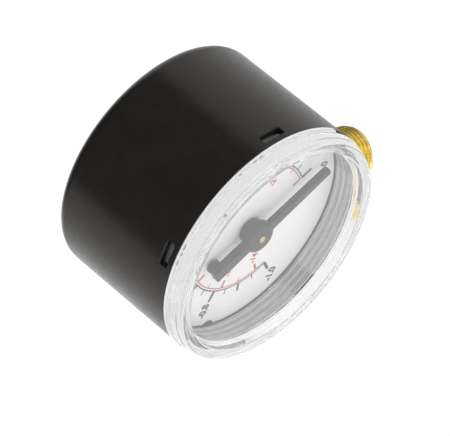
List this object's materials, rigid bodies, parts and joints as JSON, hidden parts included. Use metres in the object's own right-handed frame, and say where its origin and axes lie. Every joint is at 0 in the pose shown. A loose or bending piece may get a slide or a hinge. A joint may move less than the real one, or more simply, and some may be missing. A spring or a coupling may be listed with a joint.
{
  "type": "pressure gauge",
  "caption": "Round vacuum and pressure gauge with black plastic case, clear snap-in window, white dial, black pointer, Bourdon movement and radial brass threaded connector.",
  "frame": {"origin": "centre of the flat back of the case, on the case axis", "axes": "+Y along the case axis out of the back, dial faces -Y, +Z towards 12 o'clock, away from the connector, +X towards 3 o'clock"},
  "size_m": [0.0404, 0.0277, 0.0562],
  "materials": {
    "case_black": "satin moulded ABS",
    "window_clear": "clear moulded plastic",
    "dial_white": "printed matt white plastic",
    "pointer_black": "satin moulded plastic",
    "stem_brass": "turned brass",
    "movement_brass": "stamped and turned brass",
    "tube_bronze": "drawn bronze",
    "spring_bronze": "rolled bronze strip",
    "screw_steel": "zinc plated"
  },
  "bodies": {
    "housing": {"case": "case_black", "window": "window_clear", "dial": "dial_white", "stem": "stem_brass", "bourdon_tube": "tube_bronze", "movement_front_plate": "movement_brass", "movement_back_plate": "movement_brass", "pillar_1": "movement_brass", "pillar_2": "movement_brass", "plate_screw_1": "screw_steel", "plate_screw_2": "screw_steel", "movement_screw_1": "screw_steel", "movement_screw_2": "screw_steel", "case_screw_1": "screw_steel", "case_screw_2": "screw_steel", "hairspring_stud": "movement_brass", "hairspring": "spring_bronze"},
    "sector": {"sector_gear": "movement_brass", "sector_arbor": "screw_steel", "link_pin_sector": "movement_brass"},
    "pointer_shaft": {"pinion_arbor": "movement_brass", "pointer": "pointer_black", "hairspring_collet": "movement_brass"},
    "tube_tip": {"tube_end_piece": "movement_brass", "link_pin_tip": "movement_brass"},
    "link_bar": {"link": "movement_brass"}
  },
  "joints": [
    {"name": "sector_pivot", "type": "hinge", "parent": "housing", "child": "sector", "pos_m": [0, -0.01095, -0.008], "axis": [0, -1, 0], "range_deg": [-36, 0]},
    {"name": "pointer_turn", "type": "hinge", "parent": "housing", "child": "pointer_shaft", "pos_m": [0, -0.01095, 0], "axis": [0, -1, 0], "range_deg": [0, 270], "deforming": ["hairspring"]},
    {"name": "tube_flex", "type": "hinge", "parent": "housing", "child": "tube_tip", "pos_m": [-0.00246, -0.01095, 0.00352], "axis": [0, -1, 0], "range_deg": [-8.3, 0], "deforming": ["bourdon_tube"]},
    {"name": "link_pivot", "type": "hinge", "parent": "tube_tip", "child": "link_bar", "pos_m": [0.0112, -0.01095, -0.0043], "axis": [0, -1, 0], "range_deg": [0, 4.1]}
  ],
  "couplings": [
    {"joint": "pointer_turn", "follows": "sector_pivot", "ratio": -7.5},
    {"joint": "tube_flex", "follows": "sector_pivot", "ratio": 0.22784},
    {"joint": "link_pivot", "follows": "sector_pivot", "ratio": -0.11082}
  ]
}
